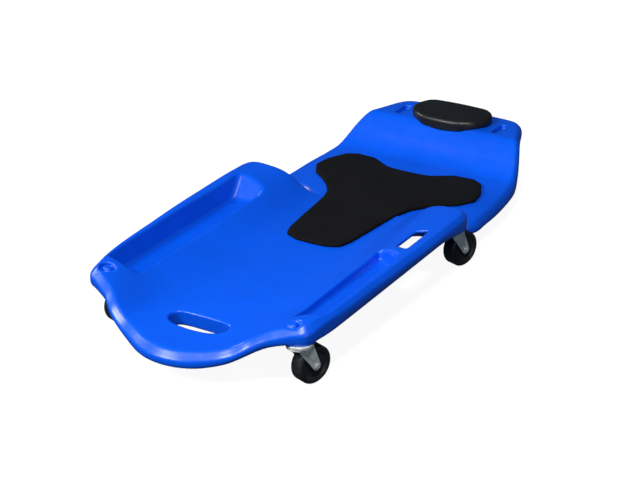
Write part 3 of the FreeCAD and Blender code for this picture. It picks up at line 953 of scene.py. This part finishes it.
def board_material():
    """Bare plywood, its grain along X."""
    m = Shader("raw_ply", (0.4, 0.27, 0.15))
    m.tint(m.noise(22.0, 5.0, stretch=(1, 14, 14), warp=0.6), (0.30, 0.19, 0.10), (0.48, 0.33, 0.19))
    m.rough(m.noise(160.0, 3.0), 0.62, 0.8)
    m.bump(m.noise(300.0, 3.0, stretch=(1, 10, 10)), 0.0002, 0.5)
    return m.mat


def paint(obj, mat):
    obj.data.materials.clear()
    obj.data.materials.append(mat)


paint(deck, deck_material())
paint(mat, foam_material())
paint(rest, vinyl_material())
zinc = zinc_material()
black = wheel_material()
steel = bright_steel_material()
board = board_material()

# Material by the last word of a piece's name.
FINISH = {"fork": zinc, "raceway": zinc, "wheel": black, "kingpin": zinc, "socket": zinc,
          "axle": zinc, "screws": zinc, "balls": steel, "bushing": steel, "board": board}
for part, objs in casters.items():
    for obj in objs:
        paint(obj, FINISH[part])
for name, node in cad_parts.items():
    kind = name.split("_")[-1]
    if kind in FINISH:
        paint(node, FINISH[kind])


# ------------------------------------------------------------ stage and light
FLOOR_HALF = 30.0            # metres


def add_floor():
    """Plain pale floor that glows to white and casts no light on the creeper."""
    mesh = bpy.data.meshes.new("floor")
    s = FLOOR_HALF
    mesh.from_pydata([(-s, -s, 0), (s, -s, 0), (s, s, 0), (-s, s, 0)], [], [(0, 1, 2, 3)])
    obj = bpy.data.objects.new("floor", mesh)
    bpy.context.scene.collection.objects.link(obj)
    m = Shader("floor_white", (0.8, 0.8, 0.8))
    m.tint(m.noise(1.5, 2.0), (0.13, 0.13, 0.13), (0.15, 0.15, 0.15))
    m.rough(m.noise(3.0, 2.0), 0.85, 0.95)
    m.set("Emission Color", (1, 1, 1, 1))
    m.set("Emission Strength", 0.93)
    paint(obj, m.mat)
    obj.visible_diffuse = False
    obj.visible_glossy = False


def area_light(name, location, target, size, power):
    """Soft rectangular lamp aimed at a point, sizes in metres, power in watts."""
    data = bpy.data.lights.new(name, "AREA")
    data.shape = "RECTANGLE"
    data.size, data.size_y = size
    data.energy = power
    obj = bpy.data.objects.new(name, data)
    bpy.context.scene.collection.objects.link(obj)
    obj.location = location
    aim = Vector(target) - Vector(location)
    obj.rotation_euler = aim.to_track_quat("-Z", "Y").to_euler()


add_floor()
area_light("key", (-1.5, -3.1, 2.7), (0, 0, 0), (1.4, 1.0), 158)
area_light("overhead", (0.83, -1.53, 2.8), (0.1, -0.4, 0), (0.6, 0.45), 72)
area_light("left", (-3.0, -0.2, 1.4), (0, -0.3, 0), (0.8, 0.6), 34)
area_light("fill", (3.0, -1.9, 0.7), (0, 0, 0.05), (1.6, 0.8), 12)
world = bpy.data.worlds.new("studio")
world.use_nodes = True
background = world.node_tree.nodes["Background"]
background.inputs["Color"].default_value = (0.45, 0.7, 1, 1)
background.inputs["Strength"].default_value = 0.09
bpy.context.scene.world = world

# The photo's viewpoint, solved from mirror-symmetric features and the wheels.
# Angles are in radians, the place in metres and the lens in millimetres.
CAMERA_YAW = 0.534589
CAMERA_PITCH = 0.437712
CAMERA_ROLL = 0.002488
CAMERA_PLACE = (1.40072, -2.40596, 1.33796)
CAMERA_LENS = 98.43
cam_data = bpy.data.cameras.new("camera")
cam_data.sensor_width = 36.0
cam_data.lens = CAMERA_LENS
cam_data.clip_end = 100
camera = bpy.data.objects.new("camera", cam_data)
bpy.context.scene.collection.objects.link(camera)
turn = (Matrix.Rotation(CAMERA_YAW, 4, "Z")
        @ Matrix.Rotation(math.pi / 2 - CAMERA_PITCH, 4, "X")
        @ Matrix.Rotation(CAMERA_ROLL, 4, "Z"))
camera.matrix_world = Matrix.Translation(Vector(CAMERA_PLACE)) @ turn
bpy.context.scene.camera = camera
bpy.context.scene.view_settings.view_transform = "Standard"

bpy.context.view_layer.update()
